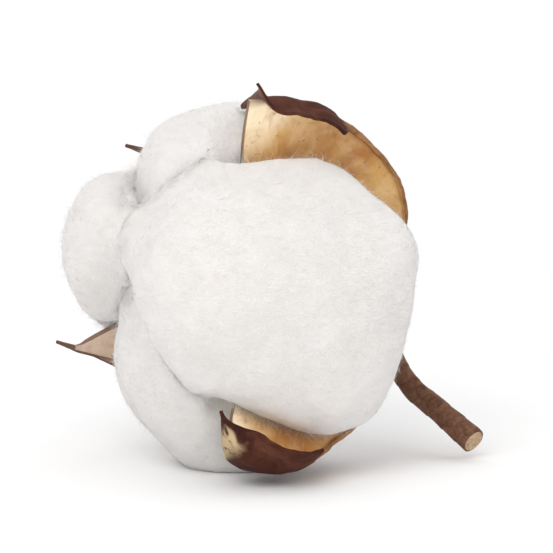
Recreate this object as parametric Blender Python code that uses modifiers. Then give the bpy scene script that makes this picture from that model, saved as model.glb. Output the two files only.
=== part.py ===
import math
import random

import bmesh
import bpy
from mathutils import Matrix, Vector
from mathutils.bvhtree import BVHTree

MM = 0.001

# The fruit's own frame: its base, its axis towards the open end, and two directions across that axis
FRUIT_BASE = Vector((20.2, 12.9, -4.3)) * MM
FRUIT_AXIS = Vector((-0.812, -0.515, 0.273)).normalized()
ACROSS = Vector((FRUIT_AXIS.z, 0.0, -FRUIT_AXIS.x)).normalized()
AROUND = FRUIT_AXIS.cross(ACROSS)

# How the boll lies: leaning back a little, with its lint pressed flat where it touches the ground
LEAN_BACK = math.radians(8.0)
GROUND_LEVEL = -26.3 * MM

# Valves: azimuth round the axis, then the two handles and the tip of the profile as radius and height,
# the width of the half before the middle line and of the half after it, how steeply each half falls away from
# the middle line, which half is wide only towards the tip and where it widens, where the beak is drawn out,
# how far its tip hooks outwards, and where the partition's corner stands from the wall
VALVE_FOOT = (3.5, 1.0)
VALVES = {
    "top": {"azimuth": -23.0, "lower": (24.0, 0.8), "upper": (29.3, 20.5), "beak": (26.0, 37.2),
            "before": 4.2, "after": 9.0, "keel": (0.0, 0.55), "flap_side": -1, "flap": (0.6, 0.7),
            "beak_from": 0.8, "beak_to": 0.97, "hook": 2.0, "corner": (-1.5, 2.9)},
    "upper_left": {"azimuth": 65.0, "lower": (22.0, 1.0), "upper": (31.0, 20.0), "beak": (28.4, 33.8),
                   "before": 9.5, "after": 9.0, "keel": (0.0, 0.0), "flap_side": 0, "flap": (0.0, 1.0),
                   "beak_from": 0.5, "beak_to": 0.9, "hook": 0.0, "corner": (-1.0, -0.3)},
    "left": {"azimuth": 130.0, "lower": (21.0, 1.0), "upper": (30.0, 20.0), "beak": (28.7, 36.4),
             "before": 8.5, "after": 8.5, "keel": (0.0, 0.0), "flap_side": 0, "flap": (0.0, 1.0),
             "beak_from": 0.5, "beak_to": 0.88, "hook": 0.0, "corner": (-1.0, -0.3)},
    "bottom": {"azimuth": 220.0, "lower": (22.0, -2.0), "upper": (44.0, 24.0), "beak": (25.6, 29.2),
               "before": 7.5, "after": 5.0, "keel": (0.5, 0.0), "flap_side": 1, "flap": (0.5, 0.56),
               "beak_from": 0.84, "beak_to": 0.995, "hook": 0.0, "corner": (-1.0, -0.3)},
}
KEEL_ROUND = 1.0 * MM
FLAP_FOOT = 0.9
WALL_THICKNESS = 0.9 * MM
WALL_STEPS_LONG = 28
WALL_STEPS_WIDE = 8
WALL_CURVE_RADIUS = 21.0 * MM
BEAK_HALF_WIDTH = 0.55 * MM
HOOK_FROM = 0.82
MARGIN_CURL = 0.35 * MM
MARGIN_WAVE = 0.3 * MM
PARTITION_THICKNESS = 0.8 * MM
PARTITION_STEPS_LONG = 16
PARTITION_STEPS_WIDE = 3

# Lint locks: the valves on either side, the centre as azimuth, radius and height, and three half sizes
# along the axis, outwards from it and round it; a dent is a direction, a depth and a width
LOCKS = {
    "lint_lock_upper": {"between": ("top", "upper_left"), "centre": (21.0, 11.5, 22.5),
                        "half": (19.5, 12.8, 14.5)},
    "lint_lock_left": {"between": ("upper_left", "left"), "centre": (97.5, 12.5, 24.0),
                       "half": (20.5, 14.0, 17.0)},
    "lint_lock_bottom": {"between": ("left", "bottom"), "centre": (178.0, 12.0, 19.6),
                         "half": (17.0, 18.6, 15.5), "dent": ((-0.72, -0.15, -0.68), 0.1, 0.45)},
    "lint_lock_front": {"between": ("bottom", "top"), "centre": (261.0, 12.5, 24.8),
                        "half": (21.5, 14.5, 18.5)},
}
LOCK_DETAIL = 4
LOCK_HALF_GAP = 0.75 * MM
LOCK_ROUNDING = 7.0
LOCK_WALL_GAP = 0.6 * MM
GUARD_WIDTH = 1.8
GUARD_FLARE = 7.0 * MM
GUARD_STEPS = 40
TUFT_COUNT = 9
TUFT_HEIGHT = 0.045
TUFT_WIDTH = 0.5
LOCK_SEED = 11

RECEPTACLE_RADIUS = 5.0 * MM
RECEPTACLE_HEIGHT = 3.2 * MM
CALYX_TEETH = 5
CALYX_TOOTH = 0.12

STEM_GAP = 0.3 * MM
STEM_START_RADIUS = 1.2 * MM
STEM_END_RADIUS = 1.9 * MM
STEM_LEAD = 1.4 * MM
STEM_SIDES = 16
STEM_STEPS = 28
STEM_POINTS = ((22.9, 15.6, -9.4), (25.0, 15.4, -13.8), (30.4, 12.0, -18.8), (34.6, 8.4, -22.5))


def clear_scene():
    for item in list(bpy.data.objects):
        bpy.data.objects.remove(item, do_unlink=True)


def new_collection(name):
    collection = bpy.data.collections.new(name)
    bpy.context.scene.collection.children.link(collection)
    return collection


def new_material(name, colour, roughness):
    material = bpy.data.materials.new(name)
    material.use_nodes = True
    shader = material.node_tree.nodes["Principled BSDF"]
    shader.inputs["Base Color"].default_value = (*colour, 1.0)
    shader.inputs["Roughness"].default_value = roughness
    shader.inputs["Metallic"].default_value = 0.0
    return material


def outwards(azimuth):
    turn = math.radians(azimuth)
    return ACROSS * math.cos(turn) + AROUND * math.sin(turn)


def sideways(azimuth):
    return outwards(azimuth + 90.0)


def fruit_point(azimuth, radius, height):
    return FRUIT_BASE + outwards(azimuth) * radius * MM + FRUIT_AXIS * height * MM


def bezier(points, step):
    rest = 1.0 - step
    weights = (rest ** 3, 3 * rest * rest * step, 3 * rest * step * step, step ** 3)
    return tuple(sum(w * p[axis] for w, p in zip(weights, points)) for axis in range(2))


def bezier_slope(points, step):
    rest = 1.0 - step
    weights = (3 * rest * rest, 6 * rest * step, 3 * step * step)
    parts = [tuple(b - a for a, b in zip(points[i], points[i + 1])) for i in range(3)]
    return tuple(sum(w * p[axis] for w, p in zip(weights, parts)) for axis in range(2))


def smooth_step(low, high, value):
    share = min(max((value - low) / (high - low), 0.0), 1.0)
    return share * share * (3.0 - 2.0 * share)


def object_from(working, name, collection):
    mesh = bpy.data.meshes.new(name)
    working.to_mesh(mesh)
    working.free()
    item = bpy.data.objects.new(name, mesh)
    collection.objects.link(item)
    return item


def apply_modifiers(item):
    graph = bpy.context.evaluated_depsgraph_get()
    finished = bpy.data.meshes.new_from_object(item.evaluated_get(graph))
    item.modifiers.clear()
    item.data = finished


def thicken(item, thickness):
    shell = item.modifiers.new("thickness", "SOLIDIFY")
    shell.thickness = thickness
    shell.offset = 0.0
    apply_modifiers(item)


def wall_profile(valve):
    return (VALVE_FOOT, valve["lower"], valve["upper"], valve["beak"])


def wall_half_width(valve, step, across):
    # Narrow at the foot, widest before the middle, then drawn out into a thin beak
    half = valve["after"] if across > 0 else valve["before"]
    if across * valve["flap_side"] > 0:
        half = FLAP_FOOT + (half - FLAP_FOOT) * smooth_step(*valve["flap"], step)
    grown = 0.4 + 0.6 * smooth_step(0.0, 0.4, step)
    drawn = 1.0 - smooth_step(valve["beak_from"], valve["beak_to"], step)
    return half * MM * grown * drawn + BEAK_HALF_WIDTH * (1.0 - drawn)


def wall_outward(valve, step):
    along = bezier_slope(wall_profile(valve), step)
    size = math.hypot(*along)
    direction = outwards(valve["azimuth"]) * along[1] - FRUIT_AXIS * along[0]
    return direction / size


def wall_point(valve, step, across):
    radius, height = bezier(wall_profile(valve), step)
    radius += valve["hook"] * max((step - HOOK_FROM) / (1.0 - HOOK_FROM), 0.0) ** 2
    middle = fruit_point(valve["azimuth"], radius, height)
    half = wall_half_width(valve, step, across)
    arc = across * half / WALL_CURVE_RADIUS
    outward = wall_outward(valve, step)
    wave = math.sin(step * 17.0 + valve["azimuth"]) * math.sin(step * 7.0 + across)
    edge = abs(across) ** 4 * min(half / (4.0 * MM), 1.0)
    place = middle + sideways(valve["azimuth"]) * math.sin(arc) * WALL_CURVE_RADIUS
    place -= outward * (1.0 - math.cos(arc)) * WALL_CURVE_RADIUS
    fall = valve["keel"][1 if across > 0 else 0]
    place -= outward * fall * (math.hypot(across * half, KEEL_ROUND) - KEEL_ROUND)
    return place + outward * edge * (MARGIN_CURL + MARGIN_WAVE * wave)


def build_wall(name, valve, collection):
    working = bmesh.new()
    bmesh.ops.create_grid(working, x_segments=WALL_STEPS_LONG, y_segments=WALL_STEPS_WIDE, size=1.0)
    for vertex in working.verts:
        vertex.co = wall_point(valve, (vertex.co.x + 1.0) / 2.0, vertex.co.y)
    item = object_from(working, name, collection)
    thicken(item, WALL_THICKNESS)
    return item


def partition_edge(valve):
    # The free edge of the partition, from beside the axis out to its corner by the beak
    radius, height = valve["beak"]
    outwards_by, up_by = valve["corner"]
    end_radius, end_height = bezier(wall_profile(valve), 0.94)
    bend = (radius * 0.43, height * 0.82 + 0.5 * (up_by + 0.3))
    return ((2.5, 4.0), (3.0, height * 0.7), bend, (end_radius + outwards_by, end_height + up_by))


def build_partition(name, valve, collection):
    working = bmesh.new()
    steps = PARTITION_STEPS_LONG
    bmesh.ops.create_grid(working, x_segments=steps, y_segments=PARTITION_STEPS_WIDE, size=1.0)
    for vertex in working.verts:
        step = (vertex.co.x + 1.0) / 2.0
        share = (vertex.co.y + 1.0) / 2.0
        wall = bezier(wall_profile(valve), 0.03 + 0.91 * step)
        edge = bezier(partition_edge(valve), step)
        radius, height = (w * (1.0 - share) + e * share for w, e in zip(wall, edge))
        vertex.co = fruit_point(valve["azimuth"], radius, height)
    item = object_from(working, name, collection)
    thicken(item, PARTITION_THICKNESS)
    return item


def fruit_turn():
    turn = Matrix((ACROSS, AROUND, FRUIT_AXIS)).transposed().to_4x4()
    return Matrix.Translation(FRUIT_BASE) @ turn


def build_receptacle(collection):
    working = bmesh.new()
    bmesh.ops.create_uvsphere(working, u_segments=30, v_segments=12, radius=RECEPTACLE_RADIUS)
    for vertex in working.verts:
        azimuth = math.atan2(vertex.co.y, vertex.co.x)
        level = vertex.co.z / RECEPTACLE_RADIUS
        spread = 1.0 + CALYX_TOOTH * math.cos(CALYX_TEETH * azimuth) * (1.0 - level * level)
        vertex.co.x *= spread
        vertex.co.y *= spread
        vertex.co.z = level * RECEPTACLE_HEIGHT / 2.0 + 0.6 * MM
    bmesh.ops.transform(working, matrix=fruit_turn(), verts=working.verts)
    return object_from(working, "receptacle", collection)


def build_burr(collection, pieces):
    body = build_receptacle(collection)
    for name, valve in VALVES.items():
        build_wall("wall_" + name, valve, pieces)
        build_partition("partition_" + name, valve, pieces)
    union = body.modifiers.new("grown together", "BOOLEAN")
    union.operation = "UNION"
    union.operand_type = "COLLECTION"
    union.collection = pieces
    union.solver = "EXACT"
    apply_modifiers(body)
    body.name = "burr"
    body.data.name = "burr"
    for item in list(pieces.objects):
        bpy.data.objects.remove(item, do_unlink=True)
    return body


def tuft_directions(name):
    draw = random.Random(LOCK_SEED + len(name))
    found = []
    while len(found) < TUFT_COUNT:
        spot = Vector((draw.uniform(-1, 1), draw.uniform(-1, 1), draw.uniform(-1, 1)))
        if 0.1 < spot.length < 1.0:
            found.append(spot.normalized())
    return found


def side_limits(lock):
    # The flat sides where the lock faces the partitions of its two valves, as direction and distance
    azimuth, radius, height = lock["centre"]
    centre = fruit_point(azimuth, radius, height)
    first, second = (VALVES[name]["azimuth"] for name in lock["between"])
    limits = []
    for direction in (-sideways(first), sideways(second)):
        distance = (FRUIT_BASE - centre).dot(direction) - LOCK_HALF_GAP
        limits.append((direction, distance))
    return centre, limits


def wall_guards():
    # Open surfaces a little inside the walls and wider than them, which keep the lint within the valves
    working = bmesh.new()
    for valve in VALVES.values():
        grid = bmesh.ops.create_grid(working, x_segments=GUARD_STEPS, y_segments=GUARD_STEPS, size=1.0)
        for vertex in grid["verts"]:
            step = (vertex.co.x + 1.0) / 2.0
            across = vertex.co.y * GUARD_WIDTH
            beyond = max(abs(across) - 1.0, 0.0) / (GUARD_WIDTH - 1.0)
            offset = GUARD_FLARE * beyond ** 2 - WALL_THICKNESS / 2.0 - LOCK_WALL_GAP
            held = min(max(across, -1.0), 1.0)
            spread = sideways(valve["azimuth"]) * (across - held) * wall_half_width(valve, step, across)
            vertex.co = wall_point(valve, step, held) + spread + wall_outward(valve, step) * offset
    guards = BVHTree.FromBMesh(working)
    working.free()
    return guards


def lock_reach(direction, centre, lock, tufts, limits, guards):
    azimuth = lock["centre"][0]
    frame = (FRUIT_AXIS, outwards(azimuth), sideways(azimuth))
    parts = [direction.dot(axis) / (half * MM) for axis, half in zip(frame, lock["half"])]
    reach = 1.0 / math.sqrt(sum(part * part for part in parts))
    swell = sum(math.exp(-((direction - tuft).length / TUFT_WIDTH) ** 2) for tuft in tufts)
    reach *= 1.0 + TUFT_HEIGHT * (swell - 0.6)
    if "dent" in lock:
        towards, depth, width = lock["dent"]
        away = (direction - Vector(towards).normalized()).length
        reach *= 1.0 - depth * math.exp(-(away / width) ** 2)
    total = reach ** -LOCK_ROUNDING
    for side, distance in limits:
        facing = direction.dot(side)
        if facing > 0.0:
            total += (facing / distance) ** LOCK_ROUNDING
    wall_distance = guards.ray_cast(centre, direction)[3]
    if wall_distance is not None:
        total += wall_distance ** -LOCK_ROUNDING
    return total ** (-1.0 / LOCK_ROUNDING)


def build_lock(name, lock, guards, collection):
    centre, limits = side_limits(lock)
    tufts = tuft_directions(name)
    working = bmesh.new()
    bmesh.ops.create_icosphere(working, subdivisions=LOCK_DETAIL, radius=1.0)
    for vertex in working.verts:
        direction = vertex.co.normalized()
        reach = lock_reach(direction, centre, lock, tufts, limits, guards)
        vertex.co = centre + direction * reach
    return object_from(working, name, collection)


def stem_centres():
    start = FRUIT_BASE - FRUIT_AXIS * (RECEPTACLE_HEIGHT / 2.0 - 0.6 * MM + STEM_GAP)
    return [start] + [Vector(point) * MM for point in STEM_POINTS]


def build_stem(collection):
    curve = bpy.data.curves.new("stem", "CURVE")
    curve.dimensions = "3D"
    curve.resolution_u = STEM_STEPS // 4
    curve.bevel_depth = 1.0
    curve.bevel_resolution = STEM_SIDES // 4 - 1
    curve.use_fill_caps = True
    points = stem_centres()
    line = curve.splines.new("BEZIER")
    line.bezier_points.add(len(points) - 1)
    for index, place in enumerate(points):
        share = index / (len(points) - 1)
        knot = line.bezier_points[index]
        knot.co = place
        knot.handle_left_type = "AUTO"
        knot.handle_right_type = "AUTO"
        knot.radius = STEM_START_RADIUS + (STEM_END_RADIUS - STEM_START_RADIUS) * share
    first = line.bezier_points[0]
    first.handle_left_type = "ALIGNED"
    first.handle_right_type = "ALIGNED"
    first.handle_left = first.co + FRUIT_AXIS * STEM_LEAD
    first.handle_right = first.co - FRUIT_AXIS * STEM_LEAD
    drawn = bpy.data.objects.new("stem_line", curve)
    collection.objects.link(drawn)
    graph = bpy.context.evaluated_depsgraph_get()
    mesh = bpy.data.meshes.new_from_object(drawn.evaluated_get(graph))
    bpy.data.objects.remove(drawn, do_unlink=True)
    working = bmesh.new()
    working.from_mesh(mesh)
    bmesh.ops.remove_doubles(working, verts=working.verts, dist=0.00002)
    bmesh.ops.recalc_face_normals(working, faces=working.faces)
    return object_from(working, "stem", collection)


def lay_down(items):
    # Lean the boll back, press its lint flat on the ground and bring the middle of its box to the origin
    lean = Matrix.Rotation(-LEAN_BACK, 4, "X")
    for item in items:
        item.data.transform(lean)
        if item.name in LOCKS:
            for vertex in item.data.vertices:
                vertex.co.z = max(vertex.co.z, GROUND_LEVEL)
    places = [vertex.co for item in items for vertex in item.data.vertices]
    middle = [(min(p[axis] for p in places) + max(p[axis] for p in places)) / 2.0 for axis in range(2)]
    shift = Matrix.Translation((-middle[0], -middle[1], -GROUND_LEVEL))
    for item in items:
        item.data.transform(shift)
        item.data.update()
    return shift


def main():
    clear_scene()
    boll = new_collection("cotton_boll")
    pieces = new_collection("burr_pieces")
    pieces.hide_render = True
    lint = new_material("lint", (0.91, 0.90, 0.87), 0.95)
    husk = new_material("husk", (0.42, 0.25, 0.13), 0.7)
    bark = new_material("bark", (0.19, 0.09, 0.05), 0.8)
    burr = build_burr(boll, pieces)
    guards = wall_guards()
    locks = [build_lock(name, lock, guards, boll) for name, lock in LOCKS.items()]
    stem = build_stem(boll)
    for item, material in [(burr, husk), (stem, bark)] + [(lock, lint) for lock in locks]:
        item.data.materials.clear()
        item.data.materials.append(material)
    return lay_down([burr, stem] + locks)


SHIFT = main()
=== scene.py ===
import math
import random

import bmesh
import bpy
import numpy as np
from mathutils import Matrix, Vector, noise
from mathutils.bvhtree import BVHTree
from mathutils.geometry import interpolate_bezier


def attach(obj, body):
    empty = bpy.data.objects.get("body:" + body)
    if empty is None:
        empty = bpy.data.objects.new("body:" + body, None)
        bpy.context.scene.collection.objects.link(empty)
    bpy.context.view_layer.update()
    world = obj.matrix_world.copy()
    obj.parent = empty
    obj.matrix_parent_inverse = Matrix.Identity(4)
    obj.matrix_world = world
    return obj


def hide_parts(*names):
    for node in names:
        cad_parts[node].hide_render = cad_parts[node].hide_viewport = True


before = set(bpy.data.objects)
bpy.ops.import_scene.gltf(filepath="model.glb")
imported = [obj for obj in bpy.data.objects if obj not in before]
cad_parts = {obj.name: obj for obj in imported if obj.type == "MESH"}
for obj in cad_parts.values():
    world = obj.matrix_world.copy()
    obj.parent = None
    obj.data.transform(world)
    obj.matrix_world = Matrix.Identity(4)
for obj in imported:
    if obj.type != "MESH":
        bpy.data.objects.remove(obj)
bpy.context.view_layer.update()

mm = 0.001

# the boll's own frame: its base, its axis towards the open end, and how it lies; shapes are in mm there
boll = {
    "base": (20.2, 12.9, -4.3),
    "axis": (-0.812, -0.515, 0.273),
    "leanBack": 8.0,  # degrees
    "shift": (-4.874, -0.816, 26.3),
}


def layingMatrix():
    lean = Matrix.Rotation(-math.radians(boll["leanBack"]), 4, "X")
    return Matrix.Scale(mm, 4) @ Matrix.Translation(Vector(boll["shift"])) @ lean


def bollMatrix():
    axis = Vector(boll["axis"]).normalized()
    across = Vector((axis.z, 0.0, -axis.x)).normalized()
    turn = Matrix((across, axis.cross(across), axis)).transposed().to_4x4()
    return layingMatrix() @ Matrix.Translation(Vector(boll["base"])) @ turn


toWorld = bollMatrix()
axisUp = Vector((0.0, 0.0, 1.0))


def outwardAt(azimuth):
    turn = math.radians(azimuth)
    return Vector((math.cos(turn), math.sin(turn), 0.0))


def sidewaysAt(azimuth):
    return outwardAt(azimuth + 90.0)


def smoothStep(low, high, value):
    share = min(max((value - low) / (high - low), 0.0), 1.0)
    return share * share * (3.0 - 2.0 * share)


def newPiece(name, working, materials, slotName, *replaced):
    mesh = bpy.data.meshes.new(name)
    working.to_mesh(mesh)
    working.free()
    for material in materials:
        mesh.materials.append(material)
    mesh.polygons.foreach_set("use_smooth", [True] * len(mesh.polygons))
    piece = bpy.data.objects.new(name, mesh)
    bpy.context.scene.collection.objects.link(piece)
    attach(piece, "root")
    if replaced:
        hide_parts(*replaced)
    return piece


def applyModifiers(piece):
    graph = bpy.context.evaluated_depsgraph_get()
    finished = bpy.data.meshes.new_from_object(piece.evaluated_get(graph))
    piece.modifiers.clear()
    piece.data = finished


# materials, each from noise and colour ramps read in object coordinates

def startMaterial(name):
    material = bpy.data.materials.new(name)
    material.use_nodes = True
    return material, material.node_tree


def addNode(tree, kind, **settings):
    made = tree.nodes.new(kind)
    for key, value in settings.items():
        setattr(made, key, value)
    return made


def feed(tree, value, socket):
    if isinstance(value, bpy.types.NodeSocket):
        tree.links.new(value, socket)
    elif isinstance(value, tuple) and len(value) == 3 and len(socket.default_value) == 4:
        socket.default_value = (*value, 1.0)
    else:
        socket.default_value = value


def objectPlace(tree, scale=(1.0, 1.0, 1.0), turn=(0.0, 0.0, 0.0)):
    place = addNode(tree, "ShaderNodeTexCoord").outputs["Object"]
    mapping = addNode(tree, "ShaderNodeMapping")
    mapping.inputs["Scale"].default_value = scale
    mapping.inputs["Rotation"].default_value = turn
    tree.links.new(place, mapping.inputs["Vector"])
    return mapping.outputs["Vector"]


def speckle(tree, scale, detail=4.0, rough=0.55, twist=0.0, where=None):
    made = addNode(tree, "ShaderNodeTexNoise")
    for name, value in (("Scale", scale), ("Detail", detail), ("Roughness", rough), ("Distortion", twist)):
        made.inputs[name].default_value = value
    tree.links.new(where or objectPlace(tree), made.inputs["Vector"])
    return made.outputs["Fac"]


def colourRamp(tree, source, *stops):
    made = addNode(tree, "ShaderNodeValToRGB")
    bar = made.color_ramp.elements
    while len(bar) < len(stops):
        bar.new(0.5)
    for element, (place, colour) in zip(bar, stops):
        element.position = place
        element.color = (*colour, 1.0) if isinstance(colour, tuple) else (colour, colour, colour, 1.0)
    tree.links.new(source, made.inputs["Fac"])
    return made.outputs["Color"]


def mixColour(tree, share, first, second, blend="MIX"):
    made = addNode(tree, "ShaderNodeMix", data_type="RGBA", blend_type=blend)
    feed(tree, share, made.inputs[0])
    feed(tree, first, made.inputs[6])
    feed(tree, second, made.inputs[7])
    return made.outputs[2]


def readAttribute(tree, name):
    return addNode(tree, "ShaderNodeAttribute", attribute_name=name).outputs["Fac"]


def addBump(tree, height, distance, strength=1.0, under=None):
    made = addNode(tree, "ShaderNodeBump")
    made.inputs["Strength"].default_value = strength
    made.inputs["Distance"].default_value = distance
    tree.links.new(height, made.inputs["Height"])
    if under is not None:
        tree.links.new(under, made.inputs["Normal"])
    return made.outputs["Normal"]


def finishMaterial(material, colour, normal, sockets):
    tree = material.node_tree
    shader = tree.nodes["Principled BSDF"]
    tree.links.new(colour, shader.inputs["Base Color"])
    if normal is not None:
        tree.links.new(normal, shader.inputs["Normal"])
    for name, value in sockets.items():
        feed(tree, value, shader.inputs[name])
    return material


# the lint body is painted a little darker than its fibres: painted shade between the fibres, so that they
# stand out as lighter strands
lintLook = {
    "shade": (0.79, 0.757, 0.732),
    "light": (0.85, 0.822, 0.8),
    "fluff": (0.9, 0.878, 0.86),
    "fibreShade": (0.85, 0.83, 0.812),
    "fibreLight": (0.92, 0.905, 0.893),
}


def makeLintFluff():
    material, tree = startMaterial("lintFluff")
    soft = speckle(tree, 260.0, 3.0)
    fluff = speckle(tree, 1400.0, 7.0, 0.68, 1.6)
    strands = speckle(tree, 620.0, 6.0, 0.7, 2.5, objectPlace(tree, (1.0, 0.35, 1.6), (0.6, 0.3, 0.9)))
    colour = colourRamp(tree, soft, (0.3, lintLook["shade"]), (0.7, lintLook["light"]))
    wisps = colourRamp(tree, fluff, (0.35, 0.0), (0.65, 0.35))
    colour = mixColour(tree, wisps, colour, lintLook["fluff"])
    normal = addBump(tree, fluff, 0.0003, 0.6, addBump(tree, strands, 0.0006, 0.6))
    return finishMaterial(material, colour, normal, {
        "Roughness": 0.96, "Specular IOR Level": 0.12, "Sheen Weight": 0.35, "Sheen Roughness": 0.6,
        "Subsurface Weight": 0.35, "Subsurface Scale": 0.0016, "Subsurface Radius": (1.0, 0.95, 0.9)})


def makeLintFibre():
    material, tree = startMaterial("lintFibre")
    tone = speckle(tree, 900.0, 2.0)
    colour = colourRamp(tree, tone, (0.3, lintLook["fibreShade"]), (0.7, lintLook["fibreLight"]))
    return finishMaterial(material, colour, None, {
        "Roughness": 0.9, "Specular IOR Level": 0.15, "Sheen Weight": 0.3})


huskLook = {
    "ochre": (0.5, 0.27, 0.09),
    "amber": (0.62, 0.35, 0.11),
    "rust": (0.44, 0.18, 0.045),
    "tan": (0.7, 0.43, 0.17),
    "peach": (0.98, 0.82, 0.58),
    "patch": (0.98, 0.78, 0.5),
    "vein": (0.46, 0.2, 0.06),
    "fleck": (0.26, 0.1, 0.035),
    "beak": (0.12, 0.042, 0.026),
    # painted shade: the darker brown laid on the husk where the lint lies against it
    "lintShade": (0.24, 0.1, 0.05),
    "faded": (0.48, 0.33, 0.27),
    "fadedTip": (0.1, 0.055, 0.045),
    "edge": (0.15, 0.058, 0.028),
    "gloss": 0.28,
}


def makeHuskInside():
    material, tree = startMaterial("huskInside")
    broad = speckle(tree, 130.0, 3.0, 0.5, 0.6)
    patch = speckle(tree, 240.0, 5.0, 0.62, 0.8)
    fleck = speckle(tree, 1100.0, 4.0, 0.6)
    grain = speckle(tree, 520.0, 5.0, 0.6, 0.4, objectPlace(tree, (1.0, 1.0, 0.3), (0.5, -0.9, 0.2)))
    along = mixColour(tree, 0.3, readAttribute(tree, "ripe"), broad)
    colour = colourRamp(tree, along, (0.3, huskLook["ochre"]), (0.47, huskLook["amber"]),
                        (0.57, huskLook["rust"]), (0.65, huskLook["tan"]), (0.74, huskLook["peach"]))
    faded = readAttribute(tree, "faded")
    blots = colourRamp(tree, patch, (0.38, 0.95), (0.62, 0.2))
    layers = (
        ("patch", colourRamp(tree, patch, (0.46, 0.0), (0.8, 0.45))),
        ("vein", colourRamp(tree, grain, (0.5, 0.0), (0.72, 0.5))),
        ("fleck", colourRamp(tree, fleck, (0.6, 0.0), (0.72, 0.5))),
        ("beak", colourRamp(tree, readAttribute(tree, "ripe"), (0.91, 0.0), (0.96, 0.97))),
        # painted shade where the lint meets the husk, broken up by blotches
        ("lintShade", mixColour(tree, 1.0, readAttribute(tree, "lintShadeNear"), blots, "MULTIPLY")),
        ("faded", colourRamp(tree, faded, (0.02, 0.0), (0.3, 0.8))),
        ("fadedTip", colourRamp(tree, faded, (0.8, 0.0), (1.0, 0.85))),
        ("edge", colourRamp(tree, readAttribute(tree, "margin"), (0.8, 0.0), (0.99, 0.85))),
    )
    for name, share in layers:
        colour = mixColour(tree, share, colour, huskLook[name])
    normal = addBump(tree, grain, 0.0003, 0.6, addBump(tree, fleck, 0.0002, 0.4))
    return finishMaterial(material, colour, normal,
                          {"Roughness": 0.5, "Specular IOR Level": huskLook["gloss"]})


rindLook = {
    "black": (0.022, 0.008, 0.006),
    "dark": (0.065, 0.02, 0.013),
    "brown": (0.115, 0.04, 0.024),
    "worn": (0.19, 0.085, 0.05),
    "grain": (0.035, 0.016, 0.013),
    "footDark": (0.2, 0.09, 0.04),
    "footLight": (0.42, 0.22, 0.09),
    "faded": (0.3, 0.19, 0.15),
    "bare": (0.56, 0.42, 0.25),
    "gloss": 0.05,
}


def makeHuskOutside():
    material, tree = startMaterial("huskOutside")
    patch = speckle(tree, 150.0, 6.0, 0.65, 1.0)
    grain = speckle(tree, 600.0, 6.0, 0.65, 0.6)
    dark = colourRamp(tree, patch, (0.3, rindLook["black"]), (0.48, rindLook["dark"]),
                      (0.66, rindLook["brown"]), (0.82, rindLook["worn"]))
    dark = mixColour(tree, colourRamp(tree, grain, (0.5, 0.0), (0.7, 0.4)), dark, rindLook["grain"])
    foot = colourRamp(tree, patch, (0.35, rindLook["footDark"]), (0.65, rindLook["footLight"]))
    footShare = colourRamp(tree, readAttribute(tree, "ochre"), (0.2, 0.0), (0.8, 1.0))
    colour = mixColour(tree, footShare, dark, foot)
    faded = colourRamp(tree, readAttribute(tree, "faded"), (0.1, 0.0), (0.5, 0.75), (0.8, 0.75), (1.0, 0.2))
    colour = mixColour(tree, faded, colour, rindLook["faded"])
    spots = colourRamp(tree, speckle(tree, 520.0, 4.0, 0.6, 0.8), (0.5, 1.0), (0.6, 0.1))
    bare = mixColour(tree, 1.0, readAttribute(tree, "bare"), spots, "MULTIPLY")
    colour = mixColour(tree, bare, colour, rindLook["bare"])
    normal = addBump(tree, patch, 0.0006, 0.5, addBump(tree, grain, 0.0003, 0.6))
    return finishMaterial(material, colour, normal,
                          {"Roughness": 0.65, "Specular IOR Level": rindLook["gloss"]})


barkLook = {
    "dark": (0.095, 0.04, 0.022),
    "brown": (0.17, 0.082, 0.048),
    "light": (0.26, 0.145, 0.09),
    "seam": (0.05, 0.022, 0.014),
    "cutDark": (0.36, 0.22, 0.12),
    "cutLight": (0.6, 0.44, 0.28),
}


def makeStemBark():
    material, tree = startMaterial("stemBark")
    grain = speckle(tree, 800.0, 6.0, 0.65, 0.5)
    colour = colourRamp(tree, grain, (0.3, barkLook["dark"]), (0.52, barkLook["brown"]),
                        (0.75, barkLook["light"]))
    seam = colourRamp(tree, readAttribute(tree, "wrap"), (0.0, 0.55), (0.12, 0.0))
    colour = mixColour(tree, seam, colour, barkLook["seam"])
    return finishMaterial(material, colour, addBump(tree, grain, 0.0002, 0.6),
                          {"Roughness": 0.75, "Specular IOR Level": 0.15})


def makeStemCutWood():
    material, tree = startMaterial("stemCutWood")
    grain = speckle(tree, 2200.0, 4.0)
    colour = colourRamp(tree, grain, (0.35, barkLook["cutDark"]), (0.7, barkLook["cutLight"]))
    return finishMaterial(material, colour, addBump(tree, grain, 0.0002, 0.5), {"Roughness": 0.85})


lintFluff = makeLintFluff()
lintFibre = makeLintFibre()
huskInside = makeHuskInside()
huskOutside = makeHuskOutside()
stemBark = makeStemBark()
stemCutWood = makeStemCutWood()
print("materials ready")

# the burr: four valves, each a wall and a partition, on a woody base; sizes in mm, shares from 0 to 1
# lower, upper and beak: the profile's points as radius and height; before and after: the two half widths
# flap, beakFrom, beakTo, shoulder and dip: where along the valve; corner: the partition's free corner

# each valve's last entry sets how strong the painted shade is where the lint lies against it
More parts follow.
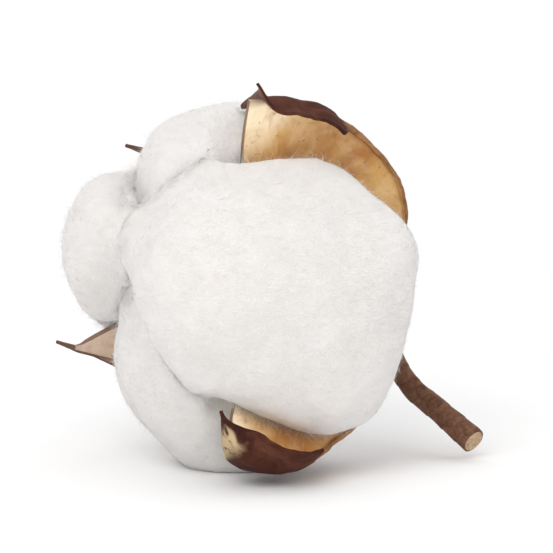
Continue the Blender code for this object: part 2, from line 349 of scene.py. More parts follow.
valveShapes = {
    "valveTop": {"azimuth": -23.0, "lower": (24.0, 0.8), "upper": (29.3, 20.5), "beak": (26.0, 37.2),
                 "before": 4.2, "after": 9.0, "keel": (0.0, 0.55), "flapSide": -1, "flap": (0.66, 0.73),
                 "beakFrom": 0.91, "beakTo": 0.99, "hook": 2.0, "shoulder": (0.78, 0.06, 0.8),
                 "dip": (0.945, 0.04, 1.4), "corner": (-1.5, 2.9), "bare": 0.0, "lintShade": 1.0},
    "valveUpperLeft": {"azimuth": 65.0, "lower": (22.0, 1.0), "upper": (31.0, 20.0), "beak": (28.4, 33.8),
                       "before": 9.5, "after": 9.0, "keel": (0.0, 0.0), "flapSide": 0, "flap": (0.0, 1.0),
                       "beakFrom": 0.5, "beakTo": 0.9, "hook": 0.0, "shoulder": (0.5, 1.0, 0.0),
                       "dip": (0.5, 1.0, 0.0), "corner": (-1.0, -0.3), "bare": 0.0, "lintShade": 1.0},
    "valveLeft": {"azimuth": 130.0, "lower": (21.0, 1.0), "upper": (30.0, 20.0), "beak": (28.7, 36.4),
                  "before": 8.5, "after": 8.5, "keel": (0.0, 0.0), "flapSide": 0, "flap": (0.0, 1.0),
                  "beakFrom": 0.5, "beakTo": 0.88, "hook": 0.0, "shoulder": (0.5, 1.0, 0.0),
                  "dip": (0.5, 1.0, 0.0), "corner": (-1.0, -0.3), "bare": 0.0, "lintShade": 1.0},
    "valveBottom": {"azimuth": 220.0, "lower": (22.0, -2.0), "upper": (44.0, 24.0), "beak": (25.6, 29.2),
                    "before": 7.5, "after": 5.0, "keel": (0.5, 0.0), "flapSide": 1, "flap": (0.54, 0.58),
                    "beakFrom": 0.84, "beakTo": 0.995, "hook": 0.0, "shoulder": (0.5, 1.0, 0.0),
                    "dip": (0.45, 0.1, 1.3), "corner": (-1.0, -0.3), "bare": 1.0, "lintShade": 0.3},
}
wallLook = {
    "foot": (3.5, 1.0),
    "thickness": 0.8,
    "curveRadius": 21.0,
    "flapFoot": 0.9,
    "beakHalfWidth": 0.5,
    "tipHalfWidth": 0.25,
    "tipFrom": 0.9,
    "hookFrom": 0.82,
    "keelRound": 1.0,
    "curl": 0.4,
    "wave": 0.3,
    "waveTurns": (17.0, 7.0),
    "curlFullWidth": 4.0,
    "crinkle": 0.2,
    "crinkleScale": 0.38,
    "edgeDent": 0.12,
    "edgeDentScale": 0.9,
    "edgeThin": 0.45,
    "tipThin": 0.45,
    "tipCalm": 0.7,
    "footShare": 0.4,
    "ochreAcross": (0.25, 0.6),
    "ochreFlapShare": 0.3,
    "marginFrom": 0.86,
    "beakShade": 0.07,
    "beakShadeAcross": (0.1, 0.5),
    "beakShadeAlong": (0.82, 0.9),
    "bareScale": 0.6,
    "bareWander": 0.5,
    "bareAcross": (0.12, 0.42),
    "bareFrom": (0.84, 0.9),
    "bareTo": (0.93, 0.97),
    "stepsLong": 110,
    "stepsWide": 34,
}


def onCurve(points, step):
    rest = 1.0 - step
    weights = (rest ** 3, 3 * rest * rest * step, 3 * rest * step * step, step ** 3)
    return tuple(sum(w * p[axis] for w, p in zip(weights, points)) for axis in range(2))


def curveSlope(points, step):
    rest = 1.0 - step
    weights = (3 * rest * rest, 6 * rest * step, 3 * step * step)
    parts = [tuple(b - a for a, b in zip(points[i], points[i + 1])) for i in range(3)]
    return tuple(sum(w * p[axis] for w, p in zip(weights, parts)) for axis in range(2))


def wallProfile(shape):
    return (wallLook["foot"], shape["lower"], shape["upper"], shape["beak"])


def profilePlace(shape, step):
    # the profile with its hook, its shoulder and the dip below its beak
    radius, height = onCurve(wallProfile(shape), step)
    radius += shape["hook"] * max((step - wallLook["hookFrom"]) / (1.0 - wallLook["hookFrom"]), 0.0) ** 2
    for sign, (middle, spread, depth) in ((1.0, shape["shoulder"]), (-1.0, shape["dip"])):
        radius += sign * depth * math.exp(-((step - middle) / spread) ** 2)
    return radius, height


def wallHalfWidth(shape, step, across):
    half = shape["after"] if across > 0 else shape["before"]
    if across * shape["flapSide"] > 0:
        foot = wallLook["flapFoot"]
        half = foot + (half - foot) * smoothStep(*shape["flap"], step)
    grown = wallLook["footShare"] + (1.0 - wallLook["footShare"]) * smoothStep(0.0, 0.4, step)
    drawn = 1.0 - smoothStep(shape["beakFrom"], shape["beakTo"], step)
    beak = wallLook["beakHalfWidth"]
    beak += (wallLook["tipHalfWidth"] - beak) * smoothStep(wallLook["tipFrom"], 1.0, step)
    return half * grown * drawn + beak * (1.0 - drawn)


def wallOutward(shape, step):
    slopeOut, slopeUp = curveSlope(wallProfile(shape), step)
    return (outwardAt(shape["azimuth"]) * slopeUp - axisUp * slopeOut).normalized()


def wallPlace(shape, step, across):
    radius, height = profilePlace(shape, step)
    half = wallHalfWidth(shape, step, across)
    curve = wallLook["curveRadius"]
    arc = across * half / curve
    quick, slow = wallLook["waveTurns"]
    wave = math.sin(step * quick + shape["azimuth"]) * math.sin(step * slow + across)
    edge = abs(across) ** 4 * min(half / wallLook["curlFullWidth"], 1.0)
    rise = edge * (wallLook["curl"] + wallLook["wave"] * wave) - (1.0 - math.cos(arc)) * curve
    fall = shape["keel"][1 if across > 0 else 0]
    rise -= fall * (math.hypot(across * half, wallLook["keelRound"]) - wallLook["keelRound"])
    middle = outwardAt(shape["azimuth"]) * radius + axisUp * height
    return middle + sidewaysAt(shape["azimuth"]) * math.sin(arc) * curve + wallOutward(shape, step) * rise


def makeWall(name, shape):
    working = bmesh.new()
    bmesh.ops.create_grid(working, x_segments=wallLook["stepsLong"],
                          y_segments=wallLook["stepsWide"], size=1.0)
    marginLayer = working.verts.layers.float.new("margin")
    ochreLayer = working.verts.layers.float.new("ochre")
    fadedLayer = working.verts.layers.float.new("faded")
    ripeLayer = working.verts.layers.float.new("ripe")
    bareLayer = working.verts.layers.float.new("bare")
    thickLayer = working.verts.layers.deform.verify()
    for vertex in working.verts:
        step, across = (vertex.co.x + 1.0) / 2.0, vertex.co.y
        place = wallPlace(shape, step, across)
        dent = noise.fractal(place * wallLook["crinkleScale"], 1.0, 2.0, 3) * wallLook["crinkle"]
        dent *= smoothStep(0.0, 0.15, step)
        dent += noise.noise(place * wallLook["edgeDentScale"]) * wallLook["edgeDent"] * abs(across) ** 3
        dent *= 1.0 - wallLook["tipCalm"] * smoothStep(0.85, 1.0, step)
        vertex.co = place + wallOutward(shape, step) * dent
        vertex[marginLayer] = max(abs(across), smoothStep(wallLook["marginFrom"], 1.0, step))
        flapped = abs(shape["flapSide"])
        aside = abs(across) * (1.0 if shape["flapSide"] * across < 0 else wallLook["ochreFlapShare"])
        nearMiddle = 1.0 - smoothStep(*wallLook["ochreAcross"], aside)
        vertex[ochreLayer] = flapped * nearMiddle * (1.0 - smoothStep(*shape["flap"], step))
        vertex[fadedLayer] = smoothStep(shape["beakFrom"], shape["beakTo"], step) * (1 - flapped)
        farSide = smoothStep(*wallLook["beakShadeAcross"], -across * shape["flapSide"])
        darker = wallLook["beakShade"] * farSide * smoothStep(*wallLook["beakShadeAlong"], step)
        vertex[ripeLayer] = step + darker
        wander = wallLook["bareWander"] * noise.noise(place * wallLook["bareScale"])
        lowSide = 1.0 - smoothStep(*wallLook["bareAcross"], across + wander)
        nearBeak = smoothStep(*wallLook["bareFrom"], step) * (1.0 - smoothStep(*wallLook["bareTo"], step))
        vertex[bareLayer] = shape["bare"] * lowSide * nearBeak
        thin = 1.0 - wallLook["edgeThin"] * abs(across) ** 3
        vertex[thickLayer][0] = thin * (1.0 - wallLook["tipThin"] * smoothStep(0.94, 1.0, step))
    bmesh.ops.transform(working, matrix=toWorld, verts=working.verts)
    piece = newPiece(name, working, (huskInside, huskOutside), "husk", "burr")
    piece.vertex_groups.new(name="thick")
    shell = piece.modifiers.new("wall", "SOLIDIFY")
    shell.thickness = wallLook["thickness"] * mm
    shell.offset = 0.0
    shell.vertex_group = "thick"
    shell.material_offset = 1
    shell.material_offset_rim = 1
    applyModifiers(piece)
    return piece


huskPieces = [makeWall(name, shape) for name, shape in valveShapes.items()]
print("valve walls ready")

partitionLook = {
    "thickness": 0.75,
    "stepsLong": 90,
    "stepsWide": 26,
    "wallFrom": 0.03,
    "wallSpan": 0.91,
    "freeFoot": ((2.5, 4.0), (3.0, 0.7)),
    "freeMiddle": (0.43, 0.82),
    "warp": 0.12,
    "warpScale": 0.26,
    "faded": 0.25,
}


def partitionPlace(shape, step, share):
    wall = profilePlace(shape, partitionLook["wallFrom"] + partitionLook["wallSpan"] * step)
    end = onCurve(wallProfile(shape), partitionLook["wallFrom"] + partitionLook["wallSpan"])
    radius, height = shape["beak"]
    outRight, up = shape["corner"]
    foot, (rising, risen) = partitionLook["freeFoot"]
    middleOut, middleUp = partitionLook["freeMiddle"]
    middle = (radius * middleOut, height * middleUp + 0.5 * (up + 0.3))
    free = onCurve((foot, (rising, height * risen), middle, (end[0] + outRight, end[1] + up)), step)
    radius, height = (w * (1.0 - share) + f * share for w, f in zip(wall, free))
    return outwardAt(shape["azimuth"]) * radius + axisUp * height


def makePartition(name, shape):
    working = bmesh.new()
    bmesh.ops.create_grid(working, x_segments=partitionLook["stepsLong"],
                          y_segments=partitionLook["stepsWide"], size=1.0)
    marginLayer = working.verts.layers.float.new("margin")
    fadedLayer = working.verts.layers.float.new("faded")
    ripeLayer = working.verts.layers.float.new("ripe")
    for vertex in working.verts:
        step, share = (vertex.co.x + 1.0) / 2.0, (vertex.co.y + 1.0) / 2.0
        place = partitionPlace(shape, step, share)
        warp = noise.noise(place * partitionLook["warpScale"]) * math.sin(math.pi * share)
        vertex.co = place + sidewaysAt(shape["azimuth"]) * warp * partitionLook["warp"]
        vertex[marginLayer] = 0.5 * share + 0.5 * share ** 24
        vertex[fadedLayer] = partitionLook["faded"] * (1 - abs(shape["flapSide"]))
        vertex[ripeLayer] = partitionLook["wallFrom"] + partitionLook["wallSpan"] * step
    bmesh.ops.transform(working, matrix=toWorld, verts=working.verts)
    piece = newPiece(name, working, (huskInside,), "husk", "burr")
    plate = piece.modifiers.new("plate", "SOLIDIFY")
    plate.thickness = partitionLook["thickness"] * mm
    plate.offset = 0.0
    applyModifiers(piece)
    return piece


partitionPieces = [makePartition(name.replace("valve", "partition"), shape)
                   for name, shape in valveShapes.items()]
print("partitions ready")

baseLook = {
    "radius": 5.0,
    "height": 3.2,
    "lift": 0.6,
    "teeth": 5,
    "tooth": 0.12,
    "roughness": 0.18,
    "roughScale": 1.1,
}


def makeBurrBase():
    working = bmesh.new()
    bmesh.ops.create_uvsphere(working, u_segments=96, v_segments=40, radius=1.0)
    for vertex in working.verts:
        azimuth = math.atan2(vertex.co.y, vertex.co.x)
        level = vertex.co.z
        spread = 1.0 + baseLook["tooth"] * math.cos(baseLook["teeth"] * azimuth) * (1.0 - level * level)
        across = Vector((vertex.co.x, vertex.co.y, 0.0)) * baseLook["radius"] * spread
        place = across + axisUp * (level * baseLook["height"] / 2.0 + baseLook["lift"])
        ridge = noise.fractal(place * baseLook["roughScale"], 1.0, 2.0, 4) * baseLook["roughness"]
        vertex.co = place * (1.0 + ridge / baseLook["radius"])
    bmesh.ops.transform(working, matrix=toWorld, verts=working.verts)
    return newPiece("burrBase", working, (huskOutside,), "husk", "burr")


huskPieces.append(makeBurrBase())
print("burr base ready")

stemLook = {
    "startRadius": 1.2,
    "endRadius": 1.9,
    "lead": 1.4,
    "gap": 0.3,
    "points": ((22.9, 15.6, -9.4), (25.0, 15.4, -13.8), (30.4, 12.0, -18.8), (34.6, 8.4, -22.5)),
    "wrapPitch": 3.2,
    "wrapStep": 0.08,
    "knobble": 0.1,
    "knobbleScale": 0.35,
    "cutBevel": 0.3,
    "cutRise": 0.15,
    "sides": 40,
    "stepsEach": 44,
}


def stemLine():
    # the middle line is drawn as a curve first, so that its handles follow the points as the solid's do
    axis = Vector(boll["axis"]).normalized()
    start = Vector(boll["base"]) - axis * (baseLook["height"] / 2.0 - baseLook["lift"] + stemLook["gap"])
    curve = bpy.data.curves.new("stemLine", "CURVE")
    curve.dimensions = "3D"
    line = curve.splines.new("BEZIER")
    points = [start] + [Vector(point) for point in stemLook["points"]]
    line.bezier_points.add(len(points) - 1)
    for knot, place in zip(line.bezier_points, points):
        knot.co = place
        knot.handle_left_type = knot.handle_right_type = "AUTO"
    first = line.bezier_points[0]
    first.handle_left_type = first.handle_right_type = "ALIGNED"
    first.handle_left = first.co + axis * stemLook["lead"]
    first.handle_right = first.co - axis * stemLook["lead"]
    drawn = bpy.data.objects.new("stemLine", curve)
    bpy.context.scene.collection.objects.link(drawn)
    bpy.context.view_layer.update()
    knots = line.bezier_points
    places, sizes = [], []
    for index in range(len(knots) - 1):
        one, two = knots[index], knots[index + 1]
        part = interpolate_bezier(one.co, one.handle_right, two.handle_left, two.co, stemLook["stepsEach"])
        for number, place in enumerate(part if index == len(knots) - 2 else part[:-1]):
            share = (index + number / (stemLook["stepsEach"] - 1)) / (len(knots) - 1)
            places.append(place)
            sizes.append(stemLook["startRadius"] + (stemLook["endRadius"] - stemLook["startRadius"]) * share)
    bpy.data.objects.remove(drawn, do_unlink=True)
    return places, sizes


def makeStem():
    places, sizes = stemLine()
    sides = stemLook["sides"]
    angles = [2.0 * math.pi * index / sides for index in range(sides)]
    working = bmesh.new()
    wrapLayer = working.verts.layers.float.new("wrap")
    bmesh.ops.create_circle(working, cap_ends=True, segments=sides, radius=1.0)
    ring = list(working.verts)
    edges = list(working.edges)
    side = (places[1] - places[0]).orthogonal().normalized()
    travelled = 0.0
    for index, place in enumerate(places):
        if index:
            travelled += (place - places[index - 1]).length
            grown = bmesh.ops.extrude_edge_only(working, edges=edges)["geom"]
            fresh = {vertex for vertex in grown if isinstance(vertex, bmesh.types.BMVert)}
            ring = [next(edge.other_vert(old) for edge in old.link_edges if edge.other_vert(old) in fresh)
                    for old in ring]
            edges = [edge for edge in grown if isinstance(edge, bmesh.types.BMEdge)
                     and edge.verts[0] in fresh and edge.verts[1] in fresh]
        forward = (places[min(index + 1, len(places) - 1)] - places[max(index - 1, 0)]).normalized()
        side = (side - forward * side.dot(forward)).normalized()
        other = forward.cross(side)
        for vertex, angle in zip(ring, angles):
            turn = (travelled / stemLook["wrapPitch"] + angle / (2.0 * math.pi)) % 1.0
            spot = Vector((travelled * stemLook["knobbleScale"], math.cos(angle), math.sin(angle)))
            knot = noise.noise(spot) * stemLook["knobble"]
            reach = sizes[index] - stemLook["wrapStep"] / 2.0 + stemLook["wrapStep"] * turn + knot
            vertex.co = place + (side * math.cos(angle) + other * math.sin(angle)) * reach
            vertex[wrapLayer] = turn
    cap = bmesh.ops.contextual_create(working, geom=edges)["faces"]
    bmesh.ops.inset_region(working, faces=cap, thickness=stemLook["cutBevel"], depth=-stemLook["cutRise"])
    for face in cap:
        face.material_index = 1
    bmesh.ops.transform(working, matrix=layingMatrix(), verts=working.verts)
    bmesh.ops.recalc_face_normals(working, faces=working.faces)
    return newPiece("stemStalk", working, (stemBark, stemCutWood), "bark", "stem")


makeStem()
print("stem ready")

# the lint: each lock is its share of one soft blend of all four, with lumps, tufts and loose fibres
# centre: azimuth, radius and height; half: half sizes along the axis, outwards and sideways
# soft: how widely it joins its neighbours; shaped: swells and dents as direction, height and width

lintLocks = {
    "lintUpper": {"node": "lint_lock_upper", "between": ("valveTop", "valveUpperLeft"),
                  "centre": (21.0, 11.5, 22.5), "half": (19.5, 12.8, 14.5), "seed": 3, "soft": 1.0,
                  "shaped": (((-0.97, 0.0, -0.2), -0.15, 0.5),)},
    "lintLeft": {"node": "lint_lock_left", "between": ("valveUpperLeft", "valveLeft"),
                 "centre": (97.5, 12.5, 24.0), "half": (20.5, 14.0, 17.0), "seed": 7, "soft": 12.0,
                 "shaped": (((0.3, 0.0, 0.95), -0.12, 0.45),)},
    "lintBottom": {"node": "lint_lock_bottom", "between": ("valveLeft", "valveBottom"),
                   "centre": (178.0, 12.0, 19.6), "half": (17.0, 18.6, 15.5), "seed": 12, "soft": 1.0,
                   "shaped": (((-0.72, -0.15, -0.68), -0.1, 0.45),)},
    "lintFront": {"node": "lint_lock_front", "between": ("valveBottom", "valveTop"),
                  "centre": (261.0, 12.5, 24.8), "half": (21.5, 14.5, 18.5), "seed": 21, "soft": 26.0,
                  "shaped": (((0.9, -0.12, 0.38), 0.19, 0.38), ((0.55, -0.15, -0.82), 0.22, 0.5),
                             ((-0.1, -0.2, 0.97), -0.08, 0.35))},
}
fluffLook = {
    "widest": 22.0,
    "stride": 0.75,
    "sharpFrom": 0.8,
    "detail": 5,
    "cuts": 2,
    "sideRounding": 7.0,
    "sideSwell": 0.8,
    "partedBy": 8.0,
    "parting": (0.8, 5.0),
    "sideGap": 0.05,
    "partitionGap": 0.5,
    "partitionNear": (0.8, 2.4),
    "partitionFar": 4.0,
    "wallGap": 0.15,
    "sharpness": 30.0,
    "guardWidth": 1.8,
    "guardFlare": 7.0,
    "openBand": (0.9, 0.975),
    "tufts": 9,
    "tuftHeight": 0.045,
    "tuftWidth": 0.5,
    "tuftSink": 0.6,
    "lumpSize": 6.5,
    "lumpHeight": 0.35,
    "wispSize": 2.2,
    "wispHeight": 0.14,
    # the gaps to the lint over which the painted shade on the husk fades out
    "lintShadeFrom": 0.1,
    "lintShadeTo": 1.1,
    "searchIn": 3.0,
    "searchOut": 6.0,
    "searchStep": 0.5,
    "halvings": 8,
}


def treeOf(pieces):
    # one search tree in the boll's own millimetres
    working = bmesh.new()
    for piece in pieces:
        working.from_mesh(piece.data)
    bmesh.ops.transform(working, matrix=toWorld.inverted(), verts=working.verts)
    tree = BVHTree.FromBMesh(working)
    working.free()
    return tree


def guardTree():
    # open surfaces just inside the walls and wider than them, which keep the lint within the valves
    working = bmesh.new()
    wide = fluffLook["guardWidth"]
    for shape in valveShapes.values():
        grid = bmesh.ops.create_grid(working, x_segments=60, y_segments=24, size=1.0)
        for vertex in grid["verts"]:
            step, across = (vertex.co.x + 1.0) / 2.0, vertex.co.y * wide
            held = min(max(across, -1.0), 1.0)
            beyond = (abs(across) - abs(held)) / (wide - 1.0)
            inward = wallLook["thickness"] / 2.0 + wallLook["crinkle"] + fluffLook["wallGap"]
            spread = sidewaysAt(shape["azimuth"]) * (across - held) * wallHalfWidth(shape, step, across)
            lift = wallOutward(shape, step) * (fluffLook["guardFlare"] * beyond ** 2 - inward)
            vertex.co = wallPlace(shape, step, held) + spread + lift
    tree = BVHTree.FromBMesh(working)
    working.free()
    return tree


partitionTree = treeOf(partitionPieces)
huskTree = treeOf(huskPieces + partitionPieces)
guards = guardTree()


def tuftDirections(seed):
    draw = random.Random(seed)
    found = []
    while len(found) < fluffLook["tufts"]:
        spot = Vector((draw.uniform(-1, 1), draw.uniform(-1, 1), draw.uniform(-1, 1)))
        if 0.1 < spot.length < 1.0:
            found.append((tuple(spot.normalized()), fluffLook["tuftHeight"], fluffLook["tuftWidth"]))
    return found


def lockFrame(lock):
    azimuth, radius, height = lock["centre"]
    centre = outwardAt(azimuth) * radius + axisUp * height
    axes = np.array([tuple(axisUp), tuple(outwardAt(azimuth)), tuple(sidewaysAt(azimuth))])
    turn = toWorld.to_3x3().normalized().inverted()
    swells = tuftDirections(lock["seed"])
    for way, height, width in lock["shaped"]:
        swells.append((tuple(turn @ Vector(way).normalized()), height, width))
    first, second = (valveShapes[name]["azimuth"] for name in lock["between"])
    sides = [np.array(-sidewaysAt(first)), np.array(sidewaysAt(second))]
    return np.array(centre), axes, np.array(lock["half"]), swells, sides


def lockDistance(points, frameOf):
    # how far points lie outside a lock, measured along its own rays, with its sides rounded off
    centre, axes, half, swells, sides = frameOf
    offset = points - centre
    far = np.linalg.norm(offset, axis=1)
    ways = offset / far[:, None]
    swell = np.full(len(points), -fluffLook["tuftSink"] * fluffLook["tuftHeight"])
    for way, height, width in swells:
        swell += height * np.exp(-np.sum((ways - np.array(way)) ** 2, axis=1) / width ** 2)
    reach = (1.0 + swell) / np.linalg.norm((ways @ axes.T) / half, axis=1)
    total = reach ** -fluffLook["sideRounding"]
    for side in sides:
        room = -float(centre @ side) + fluffLook["sideSwell"]
        total += (np.maximum(ways @ side, 0.0) / room) ** fluffLook["sideRounding"]
    return far - total ** (-1.0 / fluffLook["sideRounding"])


def blendedDistance(points, name, frames, apart):
    surface = lockDistance(points, frames[name])
    for key in lintLocks:
        if key != name:
            other = lockDistance(points, frames[key]) + apart
            width = (lintLocks[name]["soft"] + lintLocks[key]["soft"]) / 2.0
            shared = np.clip(1.0 - (other - surface) / width, 0.0, 1.0)
            surface = surface - shared ** 2 * width / 4.0
    return surface


def blendedReach(name, ways, apart):
    # the lock's own surface, softly joined with its neighbours' so that the creases between them are shallow
    frames = {key: lockFrame(lock) for key, lock in lintLocks.items()}
    centre = frames[name][0]
    middle = -lockDistance(centre + ways * 0.01, frames[name])
    inner, outer, stride = (fluffLook[key] for key in ("searchIn", "searchOut", "searchStep"))
    low, high = middle - inner, middle + outer
    for start in np.arange(stride - inner, outer, stride):
        points = centre + ways * (middle + start)[:, None]
        joined = low >= middle + start - stride * 1.02
        inside = (blendedDistance(points, name, frames, apart) < 0.0) & joined
        low = np.where(inside, middle + start, low)
    high = np.minimum(low + stride, high)
    for _ in range(fluffLook["halvings"]):
        half = (low + high) / 2.0
        outside = blendedDistance(centre + ways * half[:, None], name, frames, apart) > 0.0
        high = np.where(outside, half, high)
        low = np.where(outside, low, half)
    return (low + high) / 2.0


def partingAt(points):
    # lobes stay parted near the husk, and run into each other away from it
    low, high = fluffLook["parting"]
    found = (huskTree.find_nearest(Vector(point), high)[3] for point in points)
    far = (high if gap is None else gap for gap in found)
    return np.array([fluffLook["partedBy"] * (1.0 - smoothStep(low, high, gap)) for gap in far])


def lumpiness(place):
    lump = noise.noise(place / fluffLook["lumpSize"]) * fluffLook["lumpHeight"]
    return lump + noise.fractal(place / fluffLook["wispSize"], 0.8, 2.1, 3) * fluffLook["wispHeight"]


def outerReach(centre, way, reach):
    # the lumpy outside of the lint, rounded off where it meets a valve's wall
    outer = reach + lumpiness(centre + way * reach)
    wall = guards.ray_cast(centre, way)[3]
    if wall is None:
        return outer
    sharpness = fluffLook["sharpness"]
    return (outer ** -sharpness + wall ** -sharpness) ** (-1.0 / sharpness)


def territoryReach(name, ways):
    # how far a lock reaches before its neighbour's surface is as near as its own, which is where they meet
    frames = {key: lockFrame(lock) for key, lock in lintLocks.items()}
    centre = frames[name][0]

    def owned(reaches):
        points = centre + ways * reaches[:, None]
        others = [lockDistance(points, frames[key]) for key in lintLocks if key != name]
        return np.min(others, axis=0) > lockDistance(points, frames[name])

    stride = fluffLook["stride"]
    low = np.full(len(ways), stride)
    for start in np.arange(2.0 * stride, 1.4 * fluffLook["widest"], stride):
        held = owned(np.full(len(ways), start)) & (low > start - 1.1 * stride)
        low = np.where(held, start, low)
    high = low + stride
    for _ in range(fluffLook["halvings"] - 1):
        half = (low + high) / 2.0
        held = owned(half)
        low, high = np.where(held, half, low), np.where(held, high, half)
    return low - fluffLook["sideGap"]


def sidePull(centre, way, lock, territory):
    # one over how far the lint goes before it meets the lock beside it, or a partition between the two
    pull = 1.0 / territory
    first, second = (valveShapes[name]["azimuth"] for name in lock["between"])
    for side in (-sidewaysAt(first), sidewaysAt(second)):
        facing = way.dot(side)
        room = -centre.dot(side)
        if facing > 0.0 and room / facing < 2.0 * fluffLook["widest"]:
            found = partitionTree.find_nearest(centre + way * room / facing, fluffLook["partitionFar"])[3]
            gap = fluffLook["partitionFar"] if found is None else found
            near = 1.0 - smoothStep(*fluffLook["partitionNear"], gap)
            plane = facing / (room - fluffLook["partitionGap"])
            pull = max(pull, near * plane + (1.0 - near) / territory)
    return pull


def creaseSnaps(working, ways, outers, pulls):
    # the vertex next to each crease between lint and side is moved onto it, so that the crease runs clean
    snaps = {}
    for edge in working.edges:
        one, two = (vertex.index for vertex in edge.verts)
        first, second = pulls[one] - 1.0 / outers[one], pulls[two] - 1.0 / outers[two]
        if (first > 0.0) != (second > 0.0):
            share = first / (first - second)
            near, other, part = (one, two, share) if share < 0.5 else (two, one, 1.0 - share)
            if near not in snaps or part < snaps[near][0]:
                way = (ways[near] * (1.0 - part) + ways[other] * part).normalized()
                snaps[near] = (part, way, outers[near] * (1.0 - part) + outers[other] * part)
    return snaps


def makeLock(name, lock):
    working = bmesh.new()
    openLayer = working.verts.layers.float.new("open")
    creaseLayer = working.verts.layers.float.new("crease")
    bmesh.ops.create_icosphere(working, subdivisions=fluffLook["detail"], radius=1.0)
    bmesh.ops.subdivide_edges(working, edges=working.edges[:], cuts=fluffLook["cuts"])
    working.verts.index_update()
    frameOf = lockFrame(lock)
    centre = Vector(frameOf[0])
    rays = np.array([tuple(vertex.co.normalized()) for vertex in working.verts])
    reaches = 1.0 / np.linalg.norm((rays @ frameOf[1].T) / frameOf[2], axis=1)
    for _ in range(2):
        reaches = blendedReach(name, rays, partingAt(frameOf[0] + rays * reaches[:, None]))
    ways = [Vector(ray) for ray in rays]
    outers = [outerReach(centre, way, float(reach)) for way, reach in zip(ways, reaches)]
    pulls = [sidePull(centre, way, lock, float(far)) for way, far in zip(ways, territoryReach(name, rays))]
    snaps = creaseSnaps(working, ways, outers, pulls)
    for vertex, way, outer, pull in zip(working.verts, ways, outers, pulls):
        held = 1.0 / max(pull, 1.0 / outer)
        vertex[openLayer] = smoothStep(*fluffLook["openBand"], held / outer)
        vertex.co = centre + way * held
        if vertex.index in snaps:
            vertex.co = centre + snaps[vertex.index][1] * snaps[vertex.index][2]
            vertex[openLayer] = vertex[creaseLayer] = 1.0
    for edge in working.edges:
        edge.smooth = edge.calc_face_angle(0.0) < fluffLook["sharpFrom"]
    bmesh.ops.transform(working, matrix=toWorld, verts=working.verts)
    for vertex in working.verts:
        vertex.co.z = max(vertex.co.z, 0.0)
    return newPiece(name, working, (lintFluff,), "lint", lock["node"])


lintPieces = {name: makeLock(name, lock) for name, lock in lintLocks.items()}
print("lint locks ready")


def shadeHuskByLint():
    # the husk is painted darker brown where the lint lies against it: painted shade in the crease between
    # lint and husk
    lintTree = treeOf(lintPieces.values())
    toBoll = toWorld.inverted()
    for piece in partitionPieces + huskPieces:
        strength = valveShapes.get(piece.name.replace("partition", "valve"), {}).get("lintShade", 1.0)
        lintShadeNear = piece.data.attributes.new("lintShadeNear", "FLOAT", "POINT")
        far = [lintTree.find_nearest(toBoll @ vertex.co)[3] for vertex in piece.data.vertices]
        full, none = fluffLook["lintShadeFrom"], fluffLook["lintShadeTo"]
        lintShadeNear.data.foreach_set("value", [strength * (1.0 - smoothStep(full, none, gap)) for gap in far])


shadeHuskByLint()

fibreLook = {
    "count": 20000,
    "width": 0.036,
    "length": (0.8, 3.0),
    "lift": (0.04, 0.4),
    "strayShare": 0.08,
    "strayLift": (0.4, 0.8),
    "bend": 1.8,
    "arch": 1.6,
    "floorGap": 0.03,
    "sunk": 0.12,
    "segments": 4,
    "tipWidth": 0.3,
    "openFrom": 0.3,
    "swirlSize": 4.0,
    "swirlShifts": ((0.0, 0.0, 0.0), (9.3, -1.5, -7.9), (-5.1, 13.7, 2.9)),
    "disorder": 0.45,
    "creaseShare": 12.0,
    "seedShift": 100,
}


def swirlAt(place):
    # noise_vector changes from run to run, so three shifted noises stand in for it
    return Vector([noise.noise(place + Vector(shift)) for shift in fibreLook["swirlShifts"]])


def fibrePath(start, along, normal, draw):
    length = draw.uniform(*fibreLook["length"]) * mm
    lift = draw.uniform(*fibreLook["strayLift" if draw.random() < fibreLook["strayShare"] else "lift"])
    aside = normal.cross(along) * draw.uniform(-fibreLook["bend"], fibreLook["bend"])
    path = []
    for segment in range(fibreLook["segments"] + 1):
        share = segment / fibreLook["segments"]
        rise = lift * share * (fibreLook["arch"] - share)
        path.append(start + (along * share + aside * share * share * 0.5 + normal * rise) * length)
        path[-1].z = max(path[-1].z, fibreLook["floorGap"] * mm)
    return path


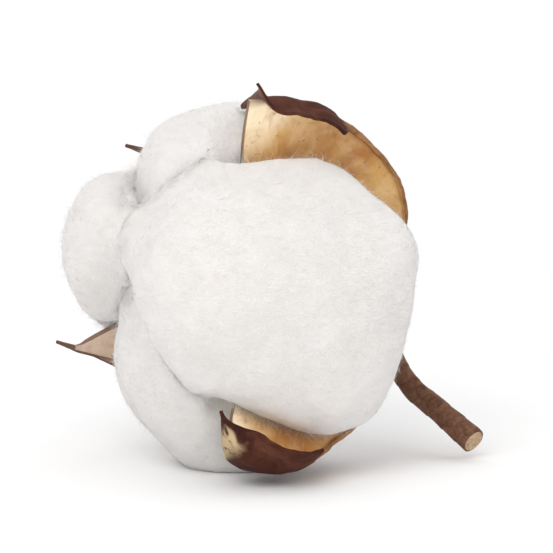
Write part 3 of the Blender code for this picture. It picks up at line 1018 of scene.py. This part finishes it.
def makeFibres(name, piece, seed):
    draw = random.Random(seed)
    source = piece.data
    opens = [0.0] * len(source.vertices)
    creases = list(opens)
    source.attributes["open"].data.foreach_get("value", opens)
    source.attributes["crease"].data.foreach_get("value", creases)
    faces = [face for face in source.polygons
             if min(opens[index] for index in face.vertices) > fibreLook["openFrom"]]
    weights = [face.area * (1.0 + fibreLook["creaseShare"] * max(creases[index] for index in face.vertices))
               for face in faces]
    toBoll = toWorld.inverted()
    chosen = draw.choices(faces, weights=weights, k=fibreLook["count"])
    working = bmesh.new()
    normalLayer = working.verts.layers.float_vector.new("lay")
    paths, edges = [], []
    for face in chosen:
        normal = face.normal
        swirl = swirlAt(toBoll @ face.center / fibreLook["swirlSize"])
        stir = Vector((draw.gauss(0, 1), draw.gauss(0, 1), draw.gauss(0, 1))) * fibreLook["disorder"]
        along = normal.cross(swirl + stir).normalized()
        start = face.center - normal * fibreLook["sunk"] * mm
        path = fibrePath(start, along, normal, draw)
        inBoll = [toBoll @ place for place in path]
        steps = zip(inBoll, inBoll[1:])
        if any(huskTree.ray_cast(one, two - one, (two - one).length)[0] for one, two in steps):
            continue  # it would pass through the husk
        across = normal.cross(along) * fibreLook["width"] * mm / 2.0
        pair = [working.verts.new(path[0] - across), working.verts.new(path[0] + across)]
        for vertex in pair:
            vertex[normalLayer] = normal
        edges.append(working.edges.new(pair))
        paths.append((path, across))
    for segment in range(1, fibreLook["segments"] + 1):
        grown = bmesh.ops.extrude_edge_only(working, edges=edges)["geom"]
        edges = [item for item in grown if isinstance(item, bmesh.types.BMEdge)]
        narrow = 1.0 - (1.0 - fibreLook["tipWidth"]) * segment / fibreLook["segments"]
        for edge, (path, across) in zip(edges, paths):
            edge.verts[0].co = path[segment] - across * narrow
            edge.verts[1].co = path[segment] + across * narrow
    fibres = newPiece(name, working, (lintFibre,), "lint")
    lays = [0.0] * (3 * len(fibres.data.vertices))
    fibres.data.attributes["lay"].data.foreach_get("vector", lays)
    fibres.data.normals_split_custom_set_from_vertices(list(zip(lays[0::3], lays[1::3], lays[2::3])))
    return fibres


for lockName, lock in lintLocks.items():
    fibreSeed = lock["seed"] + fibreLook["seedShift"]
    makeFibres(lockName.replace("lint", "fibres"), lintPieces[lockName], fibreSeed)
print("fibres ready")

# the floor, the light and the camera

studioLook = {
    "floorShade": (0.96, 0.96, 0.96),
    "floorLight": (0.97, 0.97, 0.97),
    "floorSize": 2.5,
    "worldStrength": 0.82,
    "lights": {  # place, aim, size, power
        "keyLight": ((-0.14, -0.5, 0.4), (0.0, 0.0, 0.03), 0.35, 1.55),
        "fillLight": ((0.4, -0.3, 0.25), (0.0, 0.0, 0.03), 0.4, 0.2),
        "backLight": ((0.0, 0.9, 0.8), (0.0, 0.6, 0.0), 1.2, 2.4),
    },
    "lens": 340.0,
    "distance": 0.75,
    "elevation": 8.0,
    "aim": (0.0012, 0.0, 0.0275),
}


def makeFloor():
    working = bmesh.new()
    bmesh.ops.create_grid(working, x_segments=2, y_segments=2, size=studioLook["floorSize"])
    mesh = bpy.data.meshes.new("floor")
    working.to_mesh(mesh)
    working.free()
    material, tree = startMaterial("paleFloor")
    tone = speckle(tree, 30.0, 2.0)
    colour = colourRamp(tree, tone, (0.3, studioLook["floorShade"]), (0.7, studioLook["floorLight"]))
    finishMaterial(material, colour, None, {"Roughness": 0.9, "Specular IOR Level": 0.1})
    mesh.materials.append(material)
    floor = bpy.data.objects.new("floor", mesh)
    bpy.context.scene.collection.objects.link(floor)


def addAreaLight(name, place, aim, size, power):
    light = bpy.data.lights.new(name, "AREA")
    light.size = size
    light.energy = power
    lamp = bpy.data.objects.new(name, light)
    lamp.location = place
    lamp.rotation_euler = (Vector(aim) - Vector(place)).to_track_quat("-Z", "Y").to_euler()
    bpy.context.scene.collection.objects.link(lamp)


def makeStudio():
    scene = bpy.context.scene
    world = bpy.data.worlds.new("studio")
    world.use_nodes = True
    background = world.node_tree.nodes["Background"]
    background.inputs["Color"].default_value = (1.0, 1.0, 1.0, 1.0)
    background.inputs["Strength"].default_value = studioLook["worldStrength"]
    scene.world = world
    scene.view_settings.view_transform = "Standard"
    for name, (place, aim, size, power) in studioLook["lights"].items():
        addAreaLight(name, place, aim, size, power)
    camera = bpy.data.cameras.new("camera")
    camera.lens = studioLook["lens"]
    camera.sensor_width = 36.0
    camera.clip_start = 0.01
    eye = bpy.data.objects.new("camera", camera)
    aim = Vector(studioLook["aim"])
    tilt = math.radians(studioLook["elevation"])
    eye.location = aim + Vector((0.0, -math.cos(tilt), math.sin(tilt))) * studioLook["distance"]
    eye.rotation_euler = (math.radians(90.0) - tilt, 0.0, 0.0)
    scene.collection.objects.link(eye)
    scene.camera = eye


makeFloor()
makeStudio()
print("studio ready")
